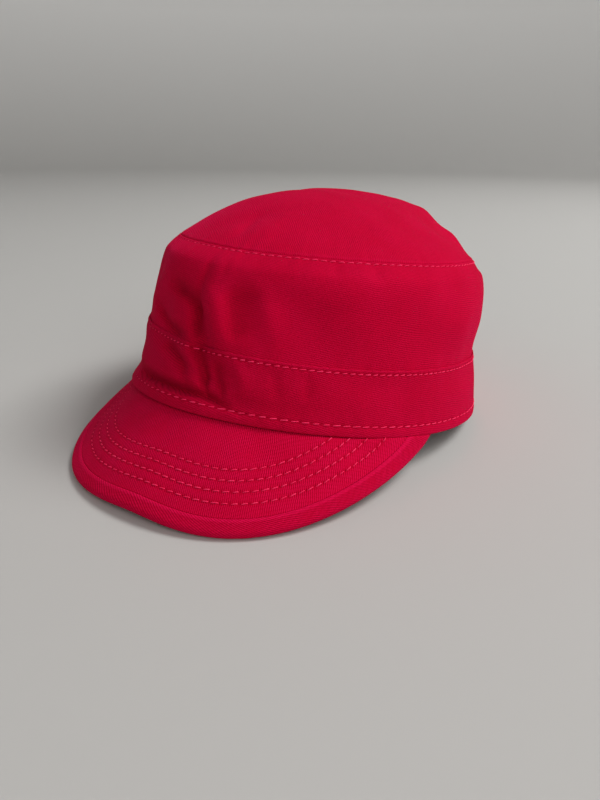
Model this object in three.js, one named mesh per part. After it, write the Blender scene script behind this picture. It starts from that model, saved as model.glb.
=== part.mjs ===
// A cadet cap standing on a flat surface, in millimetres.
//
// The shapes are worked out in the cap's own frame: the head opening is the plane z = 0, the visor points to
// -Y and the wearer's left is +X. Each piece is a sheet of cloth with an outer and an inner skin. A group
// then tips the cap back, so that the visor's rim and the back of the hem both stand on the surface z = 0.
import * as THREE from 'three';
import { mergeVertices } from 'three/addons/utils/BufferGeometryUtils.js';

// ---- Driving sizes ----

// Rings of the crown's outer surface, from the hem up: the height over the head opening, the reach from the
// middle to the front, the sides and the back, how far the ring sags at both sides, how much higher it is at
// the back than in the middle, and how far it slumps on the left side.
const RINGS = [
  { name: 'hem', height: 0, front: 101, side: 86.5, back: 91.5, sag: 6, rise: 0, slump: 0 },
  { name: 'band top', height: 27, front: 93.5, side: 82, back: 94, sag: 0.5, rise: 0.5, slump: 3.5 },
  { name: 'mid wall', height: 48.5, front: 88.7, side: 82.2, back: 104.2, sag: 0, rise: 2.5, slump: 2.5 },
  { name: 'shoulder', height: 62.5, front: 85.4, side: 78.8, back: 102.4, sag: 0, rise: 3.5, slump: 2 },
  { name: 'top seam', height: 70, front: 76.3, side: 73.5, back: 100, sag: 0, rise: 4, slump: 1.5 },
];
const HEM = RINGS[0];
const SEAM = RINGS[RINGS.length - 1];
const OVAL_POWER = 1.95;

// Folds of the wall and the band: where the fold lies round the cap, in degrees from the front towards the
// wearer's left, its half width there, the height of its middle, its half height, how far it leans towards
// the left for each millimetre up, in degrees, and how far it stands out, or goes in where it is negative.
const FOLDS = [
  { name: 'centre crease', angle: -1, width: 4, height: 30, reach: 17, lean: -0.43, out: -4 },
  { name: 'swell by the crease', angle: 6, width: 5, height: 40, reach: 13, lean: -0.4, out: 1.5 },
  { name: 'hollow over the band', angle: -20, width: 10, height: 33, reach: 10, lean: 0, out: -3 },
  { name: 'long dent', angle: 12, width: 4, height: 47, reach: 13, lean: -0.5, out: -2 },
  { name: 'band crease', angle: 5, width: 3, height: 13, reach: 8, lean: -0.3, out: -1.5 },
  { name: 'short band crease', angle: 13, width: 3, height: 13, reach: 7, lean: -0.45, out: -1.2 },
  { name: 'slanting band fold', angle: -9, width: 6, height: 19, reach: 5, lean: -2.3, out: -1.2 },
  { name: 'crease over the hem', angle: -14, width: 24, height: 8, reach: 2.4, lean: 0, out: -1.5 },
  { name: 'hem roll', angle: -14, width: 28, height: 3, reach: 3, lean: 0, out: 1 },
];

// Dents of the top panel: the middle, the half widths along and across, the turn of the long side from the
// X axis, in degrees, and how far the panel stands out there, or goes in where it is negative.
const DENTS = [
  { name: 'front dimple', x: -10, y: -56, along: 14, across: 6, turn: 30, out: -1.5 },
  { name: 'left valley', x: 58, y: 30, along: 22, across: 11, turn: 70, out: -5 },
  { name: 'back swell', x: 30, y: 48, along: 20, across: 14, turn: 70, out: 2 },
];

// The top panel rises from its seam to DOME_HEIGHT above it, in the middle. The crown leans to the left by
// DOME_SHIFT at the seam. The dents fade out towards the seam.
const DOME_HEIGHT = 27.5;
const DOME_POWER = 2.2;
const DOME_SHIFT = 1;
const DENT_FADE_POWER = 6;

// Sheets that meet keep GAP between them, and a turned-in edge keeps HIDDEN_GAP to the cloth that covers it.
const GAP = 0.3;
const HIDDEN_GAP = 0.6;
const WALL_CLOTH = 1.4;
const TOP_CLOTH = 1.4;
const BAND_CLOTH = 1.6;
const SEAM_ALLOWANCE_CLOTH = 1.2;

// How far the band's outer skin lies outside the crown's surface.
const BAND_PROUD = GAP + BAND_CLOTH;

// Rows of points up the crown. Sheets that lie on each other have theirs at the same heights: where the
// visor's allowance is turned up inside the band, where the band laps over the wall, and where the top
// panel's allowance is turned down inside the wall.
const HEM_HEIGHTS = [3, 6];
const BAND_HEIGHTS = [9, 13];
const LAP_HEIGHTS = [17, 20.5, 24, 27];
const WALL_HEIGHTS = [35, 42, 49, 55, 60];
const ALLOWANCE_HEIGHTS = [63, 65.5, 68];

// Rows of points from the middle of the top panel to its seam, and from the hem to the edge of the cover.
const DOME_SHARES = [0, 0.2, 0.4, 0.6, 0.78, 0.92];
const COVER_SHARES = [0, 0.2, 0.4, 0.6, 0.8, 1];

// The visor's rim is half of a superellipse, seen from above. The visor falls away from the hem by a share
// of the distance in front of it, less steeply at its sides than in the middle. Its allowance is turned up
// inside the band as a flange, and both end at VISOR_END of the way to the hem's corners.
const VISOR_HALF_WIDTH = 84.4;
const VISOR_ROOT = -5.2;
const VISOR_REACH = 130;
const VISOR_POWER = 2.5;
const VISOR_FALL = 0.97;
const VISOR_SIDE_EASE = 0.41;
const VISOR_EASE_WIDTH = 80;
const VISOR_THICKNESS = 3.6;
const VISOR_FLANGE = 8;
const VISOR_END = 0.99;

// The binding's legs are BINDING_WIDTH wide, seen from above, and stand a little proud of the visor. It
// stops at BINDING_END from the hem. BINDING_TURNS are the places round its bend, in degrees.
const BINDING_WIDTH = 4.7;
const BINDING_CLOTH = 1.1;
const BINDING_PROUD = 0.6;
const BINDING_END = 0.5;
const BINDING_TURNS = [-90, -50, -15, 15, 50, 90];

// How the cap stands: the tip backwards, and the height of the head opening's middle over the surface.
const REST_TILT = THREE.MathUtils.degToRad(9);
const REST_HEIGHT = 14.25;

const COLOURS = {
  crown_top: 0xb0102e,
  side_wall: 0xa90f2c,
  band: 0xa50e2b,
  visor: 0xb3122f,
  visor_binding: 0x9d0d29,
};

const CROWN_COLUMNS = 64;
const VISOR_COLUMNS = 40;

// Steps for slopes taken by differences: of an angle, a length and an angle along the rim.
const SKIN_STEP = 0.01;
const VISOR_STEP = 0.05;
const RIM_STEP = 0.02;
const HALVINGS = 40;
const MERGE_WITHIN = 1e-4;

// ---- Small helpers ----

const signedPower = (value, exponent) => Math.sign(value) * Math.abs(value) ** exponent;
const bell = (value) => Math.exp(-value * value);
const plateau = (value) => Math.exp(-(value ** 4));

// A smooth curve through one column of a table whose rows are in order of height.
function column(rows, name, height) {
  const last = rows.length - 2;
  const place = rows.findIndex((row, index) => index > 0 && height <= row.height);
  const low = place < 0 ? last : place - 1;
  const slope = (index) => {
    const before = rows[Math.max(index - 1, 0)];
    const after = rows[Math.min(index + 1, rows.length - 1)];
    return (after[name] - before[name]) / (after.height - before.height);
  };
  const [from, to] = [rows[low], rows[low + 1]];
  const span = to.height - from.height;
  const share = (height - from.height) / span;
  const [square, cube] = [share ** 2, share ** 3];
  return (2 * cube - 3 * square + 1) * from[name] + (cube - 2 * square + share) * span * slope(low)
    + (3 * square - 2 * cube) * to[name] + (cube - square) * span * slope(low + 1);
}

// ---- The crown's surface ----

// A point of the crown without its folds. The angle runs from the front towards the wearer's left.
function smoothCrown(angle, height) {
  const at = (name) => column(RINGS, name, height);
  const across = signedPower(Math.sin(angle), 2 / OVAL_POWER);
  const along = signedPower(Math.cos(angle), 2 / OVAL_POWER);
  const shift = DOME_SHIFT * (height / SEAM.height) ** 2;
  return new THREE.Vector3(
    at('side') * across + shift,
    -(along > 0 ? at('front') : at('back')) * along,
    height - at('sag') * across ** 2 - at('rise') * Math.cos(angle) - at('slump') * Math.sin(angle),
  );
}

function foldAt(angle, height) {
  const degrees = THREE.MathUtils.euclideanModulo(THREE.MathUtils.radToDeg(angle) + 180, 360) - 180;
  return FOLDS.reduce((sum, fold) => {
    const middle = fold.angle + fold.lean * (height - fold.height);
    return sum + fold.out * bell((degrees - middle) / fold.width)
      * plateau((height - fold.height) / fold.reach);
  }, 0);
}

// A point at a distance outside the crown's folded surface, or inside it where the distance is negative.
function crownPoint(angle, height, outside) {
  const step = SKIN_STEP;
  const round = smoothCrown(angle + step, height).sub(smoothCrown(angle - step, height));
  const up = smoothCrown(angle, height + step).sub(smoothCrown(angle, height - step));
  const normal = round.cross(up).normalize();
  return smoothCrown(angle, height).addScaledVector(normal, foldAt(angle, height) + outside);
}

function dentAt(x, y) {
  return DENTS.reduce((sum, dent) => {
    const turn = THREE.MathUtils.degToRad(dent.turn);
    const along = (x - dent.x) * Math.cos(turn) + (y - dent.y) * Math.sin(turn);
    const across = (y - dent.y) * Math.cos(turn) - (x - dent.x) * Math.sin(turn);
    return sum + dent.out * bell(along / dent.along) * bell(across / dent.across);
  }, 0);
}

// A point of the top panel: 0 is its middle and 1 is the top seam.
function domePoint(angle, share, inside) {
  const rim = crownPoint(angle, SEAM.height, 0);
  const middle = new THREE.Vector3(DOME_SHIFT, (SEAM.back - SEAM.front) / 2, SEAM.height);
  const point = middle.clone().lerp(rim, share);
  const dent = dentAt(point.x, point.y) * (1 - share ** DENT_FADE_POWER);
  point.z += DOME_HEIGHT * (1 - share ** DOME_POWER) + dent;
  const fall = DOME_HEIGHT * DOME_POWER * share ** (DOME_POWER - 1);
  const reach = rim.clone().sub(middle).setZ(0);
  const normal = reach.clone().multiplyScalar(fall / reach.lengthSq()).setZ(1).normalize();
  return point.addScaledVector(normal, -inside);
}

// ---- The visor's surface ----

function hemEdge(angle) {
  return crownPoint(angle, HEM.height, BAND_PROUD);
}

// The front of the hem at a distance to one side, and the height of the hem there.
function hemFront(x) {
  const share = Math.min(Math.abs(x) / (HEM.side + BAND_PROUD), 1);
  return -(HEM.front + BAND_PROUD) * (1 - share ** OVAL_POWER) ** (1 / OVAL_POWER);
}
const hemHeight = (x) => HEM.height - HEM.sag * (x / HEM.side) ** 2;

function visorTop(x, y, leastRun) {
  const run = Math.max(hemFront(x) - y, leastRun);
  const fall = VISOR_FALL - VISOR_SIDE_EASE * (x / VISOR_EASE_WIDTH) ** 2;
  return new THREE.Vector3(x, y, hemHeight(x) - GAP - run * fall);
}

// A point under the visor's top skin, measured square to it. Behind the hem's edge the skin runs level,
// but its normal still belongs to the slope, so that the skins stay parallel there.
function visorPoint(x, y, under) {
  const step = VISOR_STEP;
  const slope = (atX, atY) => visorTop(atX, atY, -Infinity);
  const across = slope(x + step, y).sub(slope(x - step, y));
  const along = slope(x, y + step).sub(slope(x, y - step));
  const normal = across.cross(along).normalize();
  return visorTop(x, y, 0).addScaledVector(normal, -under);
}

// The rim seen from above, moved inwards. The angle runs from the front towards the wearer's left.
function rimPlan(angle, inset) {
  const at = (turn) => new THREE.Vector2(
    VISOR_HALF_WIDTH * signedPower(Math.sin(turn), 2 / VISOR_POWER),
    VISOR_ROOT - VISOR_REACH * signedPower(Math.cos(turn), 2 / VISOR_POWER),
  );
  const step = RIM_STEP;
  const along = at(angle + step).sub(at(angle - step)).normalize();
  return at(angle).add(new THREE.Vector2(-along.y, along.x).multiplyScalar(inset));
}

// The angle at which the rim, moved inwards, comes within a distance of the hem.
function endAngle(inset, clearance) {
  let [open, shut] = [0, Math.PI / 2];
  for (let pass = 0; pass < HALVINGS; pass += 1) {
    const halfway = (open + shut) / 2;
    const point = rimPlan(halfway, inset);
    if (hemFront(point.x) - point.y > clearance) open = halfway;
    else shut = halfway;
  }
  return open;
}

// A line that runs along the rim at one inset: -1 and 1 are its ends at the hem.
function rimLine(inset, clearance) {
  const end = endAngle(inset, clearance);
  return (share) => rimPlan(end * share, inset);
}

// ---- Building bodies ----

// A closed sheet between two skins, which are grids of points with the same rows and columns. A ring is
// joined from its last row to its first. Points that meet at a pole are merged.
function sheet(outer, inner, ring) {
  const [rows, columns] = [outer.length, outer[0].length];
  const skins = [outer, inner];
  const positions = skins.flat(2).flatMap((point) => point.toArray());
  const index = [];
  const id = (skin, row, place) => (skin * rows + (row % rows)) * columns + place;
  const quad = (a, b, c, d) => index.push(a, b, c, a, c, d);
  const steps = ring ? rows : rows - 1;
  for (let row = 0; row < steps; row += 1) {
    for (let place = 0; place < columns - 1; place += 1) {
      quad(id(0, row, place), id(0, row + 1, place), id(0, row + 1, place + 1), id(0, row, place + 1));
      quad(id(1, row, place), id(1, row, place + 1), id(1, row + 1, place + 1), id(1, row + 1, place));
    }
    const edge = columns - 1;
    quad(id(1, row, 0), id(1, row + 1, 0), id(0, row + 1, 0), id(0, row, 0));
    quad(id(0, row, edge), id(0, row + 1, edge), id(1, row + 1, edge), id(1, row, edge));
  }
  for (let place = 0; place < columns - 1 && !ring; place += 1) {
    const end = rows - 1;
    quad(id(0, 0, place), id(0, 0, place + 1), id(1, 0, place + 1), id(1, 0, place));
    quad(id(1, end, place), id(1, end, place + 1), id(0, end, place + 1), id(0, end, place));
  }
  return closedBody(positions, index);
}

// Merges the points that meet, drops the triangles that this flattens and turns the faces outwards.
function closedBody(positions, index) {
  const loose = new THREE.BufferGeometry();
  loose.setAttribute('position', new THREE.Float32BufferAttribute(positions, 3));
  loose.setIndex(index);
  const body = mergeVertices(loose, MERGE_WITHIN);
  const corners = body.index.array;
  const kept = [];
  for (let at = 0; at < corners.length; at += 3) {
    const [a, b, c] = corners.slice(at, at + 3);
    if (a !== b && b !== c && c !== a) kept.push(a, b, c);
  }
  body.setIndex(signedVolume(body, kept) < 0 ? kept.reverse() : kept);
  body.computeVertexNormals();
  return body;
}

function signedVolume(body, corners) {
  const point = (at) => new THREE.Vector3().fromBufferAttribute(body.attributes.position, corners[at]);
  let volume = 0;
  for (let at = 0; at < corners.length; at += 3) {
    volume += point(at).dot(point(at + 1).cross(point(at + 2))) / 6;
  }
  return volume;
}

// Cloth that would reach below the surface the cap stands on is pressed flat against it.
function pressed(point) {
  const low = point.y * Math.sin(REST_TILT) - REST_HEIGHT;
  point.z = Math.max(point.z, low / Math.cos(REST_TILT));
  return point;
}

function crownRing(skin) {
  return Array.from({ length: CROWN_COLUMNS }, (_, place) => skin((place / CROWN_COLUMNS) * Math.PI * 2));
}

function alongVisor(end, line) {
  const share = (place) => end * (2 * place / VISOR_COLUMNS - 1);
  return Array.from({ length: VISOR_COLUMNS + 1 }, (_, place) => line(share(place)));
}

// ---- The pieces ----

function crownTop() {
  const turned = [...ALLOWANCE_HEIGHTS].reverse();
  const under = -(WALL_CLOTH + HIDDEN_GAP);
  const outer = crownRing((angle) => [
    ...DOME_SHARES.map((share) => domePoint(angle, share, 0)),
    crownPoint(angle, SEAM.height + GAP, 0),
    ...[SEAM.height + GAP, ...turned].map((height) => crownPoint(angle, height, under)),
  ]);
  const deeper = under - SEAM_ALLOWANCE_CLOTH;
  const inner = crownRing((angle) => [
    ...DOME_SHARES.map((share) => domePoint(angle, share, TOP_CLOTH)),
    ...[SEAM.height - GAP, SEAM.height - SEAM_ALLOWANCE_CLOTH, ...turned].map(
      (height) => crownPoint(angle, height, deeper),
    ),
  ]);
  return sheet(outer, inner, true);
}

function sideWall() {
  const heights = [...LAP_HEIGHTS, ...WALL_HEIGHTS, ...ALLOWANCE_HEIGHTS, SEAM.height];
  const skin = (outside) => crownRing((angle) => heights.map((height) => crownPoint(angle, height, outside)));
  return sheet(skin(0), skin(-WALL_CLOTH), true);
}

function band() {
  const heights = [HEM.height, ...HEM_HEIGHTS, ...BAND_HEIGHTS, ...LAP_HEIGHTS];
  const skin = (outside) => crownRing(
    (angle) => heights.map((height) => pressed(crownPoint(angle, height, outside))),
  );
  return sheet(skin(BAND_PROUD), skin(GAP), true);
}

function visor() {
  const coverInset = BINDING_WIDTH + GAP;
  const coverLine = rimLine(coverInset, 0);
  const coverEnd = rimPlan(endAngle(coverInset, 0), coverInset);
  const hemEnd = Math.asin((coverEnd.x / (HEM.side + BAND_PROUD)) ** (OVAL_POWER / 2));
  const turned = [...HEM_HEIGHTS].reverse();
  const tongue = BINDING_CLOTH + HIDDEN_GAP - BINDING_PROUD;
  const tongueTip = BINDING_CLOTH + HIDDEN_GAP + GAP;
  const tongueInsets = [coverInset, (coverInset + tongueTip) / 2, tongueTip];
  const tongueLines = tongueInsets.map((inset) => rimLine(inset, 0));
  const skin = (inside, under, tongueUnder) => alongVisor(VISOR_END, (share) => {
    const angle = hemEnd * share;
    const hem = hemEdge(angle);
    const cover = coverLine(share);
    const covers = COVER_SHARES.map((part) => visorPoint(
      THREE.MathUtils.lerp(hem.x, cover.x, part),
      THREE.MathUtils.lerp(hem.y, cover.y, part),
      under,
    ));
    const tongues = tongueLines.map((line) => {
      const place = line(share);
      return visorPoint(place.x, place.y, tongueUnder);
    });
    const flange = [VISOR_FLANGE, ...turned, -GAP].map((height) => crownPoint(angle, height, -inside));
    return [...flange, ...covers, ...tongues].map(pressed);
  });
  const flangeInside = HIDDEN_GAP - GAP;
  const top = skin(flangeInside, 0, tongue);
  const bottom = skin(flangeInside + SEAM_ALLOWANCE_CLOTH, VISOR_THICKNESS, VISOR_THICKNESS - tongue);
  return sheet(top, bottom, false);
}

// The strip is folded over the rim: a top leg, half a round at the rim and a bottom leg.
function visorBinding() {
  const bendUnder = VISOR_THICKNESS / 2;
  const flatness = Math.cos(Math.atan(VISOR_FALL));
  const outerRadius = bendUnder + BINDING_PROUD;
  const innerRadius = outerRadius - BINDING_CLOTH;
  const bendInset = outerRadius * flatness;
  const turns = BINDING_TURNS.map(THREE.MathUtils.degToRad);
  const skin = (radius) => {
    const stations = [
      { inset: BINDING_WIDTH, under: bendUnder - radius },
      ...turns.map((turn) => ({
        inset: bendInset - radius * flatness * Math.cos(turn),
        under: bendUnder + radius * Math.sin(turn),
      })),
      { inset: BINDING_WIDTH, under: bendUnder + radius },
    ].map((station) => ({ line: rimLine(station.inset, BINDING_END), under: station.under }));
    return alongVisor(1, (share) => stations.map(({ line, under }) => {
      const place = line(share);
      return pressed(visorPoint(place.x, place.y, under));
    }));
  };
  return sheet(skin(outerRadius), skin(innerRadius), false);
}

// ---- The cap ----

function piece(name, geometry) {
  const material = new THREE.MeshStandardMaterial({ color: COLOURS[name], roughness: 0.9, metalness: 0 });
  const mesh = new THREE.Mesh(geometry, material);
  mesh.name = name;
  return mesh;
}

const tipped = new THREE.Group();
tipped.add(piece('crown_top', crownTop()));
tipped.add(piece('side_wall', sideWall()));
tipped.add(piece('band', band()));
tipped.add(piece('visor', visor()));
tipped.add(piece('visor_binding', visorBinding()));
tipped.rotation.x = -REST_TILT;
tipped.position.z = REST_HEIGHT;

// The origin is on the surface, under the middle of the cap's box.
const cap = new THREE.Group();
cap.add(tipped);
cap.updateMatrixWorld(true);
const box = new THREE.Box3().setFromObject(cap, true);
const middle = box.getCenter(new THREE.Vector3());
cap.position.set(-middle.x, -middle.y, -box.min.z);

export default cap;
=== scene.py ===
"""A red cotton twill cadet cap, resting on a pale floor.

The cap's shape is worked out in its own frame, in millimetres: the head opening is the plane z = 0, the
visor points to -Y and the wearer's left is +X. The CAD model has the same shape in coarse facets. Here each
piece of cloth gets its fine folds, rolled edges, puckered seams and stitches. to_row() then tips the cap
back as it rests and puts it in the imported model's frame, in metres.
"""

import bpy
import numpy as np
from mathutils import Matrix, Vector
from mathutils.kdtree import KDTree


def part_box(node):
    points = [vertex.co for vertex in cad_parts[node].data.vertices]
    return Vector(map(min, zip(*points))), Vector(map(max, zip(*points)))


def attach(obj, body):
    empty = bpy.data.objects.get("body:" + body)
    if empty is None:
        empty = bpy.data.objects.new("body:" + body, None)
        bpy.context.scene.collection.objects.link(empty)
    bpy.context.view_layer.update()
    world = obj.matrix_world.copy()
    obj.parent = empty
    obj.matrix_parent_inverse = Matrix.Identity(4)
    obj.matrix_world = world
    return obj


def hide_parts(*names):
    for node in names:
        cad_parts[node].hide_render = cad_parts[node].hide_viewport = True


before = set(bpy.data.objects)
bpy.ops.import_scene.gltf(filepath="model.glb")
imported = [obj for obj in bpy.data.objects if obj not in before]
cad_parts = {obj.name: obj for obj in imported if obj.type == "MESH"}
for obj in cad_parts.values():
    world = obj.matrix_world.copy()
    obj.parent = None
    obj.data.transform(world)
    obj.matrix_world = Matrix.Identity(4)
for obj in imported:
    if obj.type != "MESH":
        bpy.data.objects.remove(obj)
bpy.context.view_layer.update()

TURN = 2 * np.pi
TO_METRES = 0.001


def table(names, *rows):
    """Rows of numbers whose columns are read by name."""
    return np.array(list(rows), dtype=[(name, float) for name in names])


# ---- The shape shared with the CAD model, in millimetres ----

# Rings of the crown's outer surface, from the hem up to the top seam.
RINGS = table(
    ("height", "front", "side", "back", "sag", "rise", "slump"),
    (0, 101, 86.5, 91.5, 6, 0, 0),
    (27, 93.5, 82, 94, 0.5, 0.5, 3.5),
    (48.5, 88.7, 82.2, 104.2, 0, 2.5, 2.5),
    (62.5, 85.4, 78.8, 102.4, 0, 3.5, 2),
    (70, 76.3, 73.5, 100, 0, 4, 1.5),
)
HEM, SEAM = RINGS[0], RINGS[-1]
OVAL_POWER = 1.95

# Folds of the wall and the band: the angle from the front towards the wearer's left and the half width, in
# degrees, the height of the middle and the half height, the lean in degrees a millimetre, and the depth.
FOLD_NAMES = ("angle", "width", "height", "reach", "lean", "out")
FOLDS = table(
    FOLD_NAMES,
    (-1, 4, 30, 17, -0.43, -4),  # centre crease
    (6, 5, 40, 13, -0.4, 1.5),  # swell by the crease
    (-20, 10, 33, 10, 0, -3),  # hollow over the band
    (12, 4, 47, 13, -0.5, -2),  # long dent
    (5, 3, 13, 8, -0.3, -1.5),  # band crease
    (13, 3, 13, 7, -0.45, -1.2),  # short band crease
    (-9, 6, 19, 5, -2.3, -1.2),  # slanting band fold
    (-14, 24, 8, 2.4, 0, -1.5),  # crease over the hem
    (-14, 28, 3, 3, 0, 1),  # hem roll
)

# Dents of the top panel: the middle, the half widths along and across, the turn in degrees and the depth.
DENT_NAMES = ("x", "y", "along", "across", "turn", "out")
DENTS = table(
    DENT_NAMES,
    (-10, -56, 14, 6, 30, -1.5),  # front dimple
    (58, 30, 22, 11, 70, -5),  # left valley
    (30, 48, 20, 14, 70, 2),  # back swell
)
FINE_DENTS = table(
    DENT_NAMES,
    (-5, -63, 8, 3.4, 100, -1.8),  # crease by the front dimple
    (6, -62, 8, 4, 70, 0.9),
    (14, -67, 5, 2.6, 45, -0.8),
    (-8, 3, 16, 12, 20, 1.4),  # the highest swell
    (36, 44, 6.5, 5, 45, 2),  # swells of the edge behind the left shoulder
    (53, 51, 7, 5, 45, 4),
    (60, -14, 12, 7, 60, -0.9),
    (22, 8, 20, 12, 20, -0.6),
    (-36, 20, 18, 14, 120, -0.7),
)
DOME_HEIGHT = 27.5
DOME_POWER = 2.2
DOME_SHIFT = 1
DENT_FADE_POWER = 6

GAP = 0.3
WALL_CLOTH = 1.4
TOP_CLOTH = 1.4
BAND_CLOTH = 1.6
ALLOWANCE_CLOTH = 1.2
BAND_PROUD = GAP + BAND_CLOTH
BAND_TOP = 27
WALL_TOP = SEAM["height"]
LAP_BOTTOM = 17
ALLOWANCE_BOTTOM = 63
ALLOWANCE_DEPTH = -2

VISOR_HALF_WIDTH = 84.4
VISOR_ROOT = -5.2
VISOR_REACH = 130
VISOR_POWER = 2.5
VISOR_FALL = 0.97
VISOR_SIDE_EASE = 0.41
VISOR_EASE_WIDTH = 80
VISOR_THICKNESS = 3.6
VISOR_FLANGE = 8
VISOR_END = 0.998
BINDING_WIDTH = 4.7
BINDING_CLOTH = 1.1
BINDING_PROUD = 0.4

REST_TILT = np.radians(9)
REST_HEIGHT = 14.25

# The CAD wall's rows and columns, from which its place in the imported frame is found.
CAD_COLUMNS = 64
CAD_WALL_HEIGHTS = (17, 20.5, 24, 27, 35, 42, 49, 55, 60, 63, 65.5, 68, 70)

# ---- Fine details, in millimetres ----

CROWN_COLUMNS = 720
VISOR_COLUMNS = 320
BINDING_COLUMNS = 360
CORNER_ROWS = 6

# How many places of a ring, of a row along the rim and of the rim are measured.
RING_SAMPLES = 2881
ROW_SAMPLES = 1801
RIM_SAMPLES = 4001

# How far the stitch rows, the covers and the binding of the visor run in under the band.
ROW_TUCK = 0.8
COVER_TUCK = 2
BINDING_TUCK = 3

# Smaller folds of the wall and the band, in the same columns as FOLDS.
FINE_FOLDS = table(
    FOLD_NAMES,
    (12, 4, 47, 13, -0.5, 1.6),  # the long dent is drawn by CREASES instead
    (-1, 4, 30, 17, -0.43, 1.4),  # so is the bottom of the centre crease
    (-18, 6, 36, 6, 0, 1.5),  # pillow left of the centre crease
    (1.5, 4.5, 41, 12, -0.3, 1.8),  # swell right of it
    (17.5, 3.5, 44, 12, -0.25, 0.8),  # ridge right of the long dent
    (-6, 4, 24, 3, -0.4, 0.6),  # swell of the band
    (14, 2.2, 16, 8, -0.15, 0.8),  # ridge of the band
    (-48, 13, 12, 9, 0, -2.4),  # the band's hollow at the right temple
    (34, 1.7, 66.3, 2.4, 0, -0.6),  # dimples under the top seam
    (46, 2, 65.8, 3, 0, -0.7),
    (38, 7, 57, 9, 0.8, 0.5),
    (30, 8, 40, 16, -0.4, -0.5),
    (116, 14, 69, 5, 0, -1.3),  # slack of the left shoulder
    (108, 11, 31, 15, 0, 1.5),  # swell under it
    (62, 12, 44, 16, 0, -0.8),
    (84, 9, 40, 16, 0.3, 0.8),
    (-33, 5, 46, 12, 0.5, 0.9),  # swell by the right temple
    (150, 16, 42, 16, 0.4, -1.2),  # hollows and swells behind
    (-120, 18, 44, 15, -0.5, -1.1),
    (-75, 14, 38, 18, 0.3, 0.8),
    (178, 14, 34, 14, 0, 1),
)

# Sharp creases: their course in degrees and height, the depth, and the half widths at the start on the
# left and the right of the way they run, then how narrow they are at the end.
CREASES = (
    (((-24, 49.5), (-13, 46.3), (-8.5, 42.5), (-7, 35), (-4.5, 29.5), (-3, 25)), -3.0, 4.4, 2.4, 1),
    (((-5.5, 67), (-6.5, 55), (-8, 43)), -0.9, 4.0, 2.6, 1),
    (((1.5, 66), (1, 57)), -0.35, 2.4, 2.2, 1),
    (((-34, 37), (-25, 31.5), (-15, 28.5), (-8, 27)), -2.0, 3.6, 1.8, 1),
    (((5, 55), (6.5, 47), (8.5, 38), (10.5, 30)), -1.7, 9.0, 4.5, 0.7),
    (((3, 54), (8, 52.5), (15, 53)), -0.35, 2.0, 4.0, 1),
    (((-6, 27.5), (-2.5, 23), (0.3, 18), (2.8, 12), (4.3, 8)), -3.2, 4.8, 2.2, 0.35),
    (((-20, 23), (-13, 21.5), (-8.5, 18.5), (-4.5, 13.5), (-3, 10.5)), -1.7, 2.6, 2.2, 1),
    (((4, 23), (7, 15), (10.2, 8)), -1.7, 6.5, 3.0, 0.35),
    (((-36, 8.5), (-25, 7), (-14, 7.2), (-6, 7.2), (4, 7.2), (10, 5.6), (16, 3.8)), -2.7, 2.8, 1.2, 0.7),
    (((31, 24), (32, 12)), -0.5, 2.6, 2.0, 1),
    (((22, 24), (24.5, 11)), -0.45, 2.8, 2.2, 1),
)
# One degree round the front of the cap.
DEGREE = 1.6

# Stitch rows: the height or inset of the row, and the length of one stitch with its gap.
HEM_ROW = 4.4
HEM_PITCH = 4.2
BAND_ROW = 25.1
BAND_PITCH = 3.4
TOP_ROW = 69
TOP_PITCH = 3.6
VISOR_ROWS = (8.8, 12.1, 15.3, 18.5)
VISOR_PITCH = 3.7
ROW_WIDTH = 0.8
ROW_DEPTH = 0.22

THREAD_RADIUS = 0.24
THREAD_SIDES = 6
THREAD_STATIONS = 7
THREAD_SHARE = 0.76
THREAD_RISE = 0.42
THREAD_SINK = 0.24

# How much deeper the stitches of the crown and of the visor lie on the wearer's right of the front. On the
# crown that is round one angle, in degrees.
RING_PULL = 0.36
RIM_PULL = 0.34
PULL_ANGLE = -34
PULL_WIDTH = 30


# ---- Small helpers ----


def signed_power(value, exponent):
    return np.sign(value) * np.abs(value) ** exponent


def bell(value):
    return np.exp(-np.square(value))


def plateau(value):
    return np.exp(-np.power(value, 4))


def smooth_step(low, high, value):
    share = np.clip((value - low) / (high - low), 0, 1)
    return share * share * (3 - 2 * share)


def unit(vectors):
    return vectors / np.linalg.norm(vectors, axis=-1, keepdims=True)


def signed_degrees(degrees):
    """The same direction, between -180 and 180."""
    return np.mod(degrees + 180, 360) - 180


def run_length(points, axis):
    """The distance walked along an axis of a grid of points, which starts at 0."""
    steps = np.linalg.norm(np.diff(points, axis=axis), axis=-1)
    walked = np.cumsum(steps, axis=axis)
    start = np.zeros_like(np.take(walked, [0], axis=axis))
    return np.concatenate([start, walked], axis=axis)


def waves(points, size, seed, count=14):
    """Smooth noise of about 1 either way, whose bumps are about size across."""
    random = np.random.default_rng(seed)
    directions = unit(random.normal(size=(count, 3)))
    lengths = 2 * size * random.uniform(0.7, 1.6, count)
    phases = random.uniform(0, TURN, count)
    total = 0
    for direction, length, phase in zip(directions, lengths, phases):
        total = total + np.sin(TURN * (points @ direction) / length + phase)
    return total / np.sqrt(count / 2)


def ripple(angle, size, seed, count=10):
    """Noise round the cap that meets itself, whose waves are about size long."""
    random = np.random.default_rng(seed)
    middle = TURN * HEM["side"] / size
    numbers = np.round(middle * random.uniform(0.6, 1.5, count))
    phases = random.uniform(0, TURN, count)
    total = 0
    for number, phase in zip(numbers, phases):
        total = total + np.sin(number * angle + phase)
    return total / np.sqrt(count / 2)


# ---- The crown's surface ----


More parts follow.
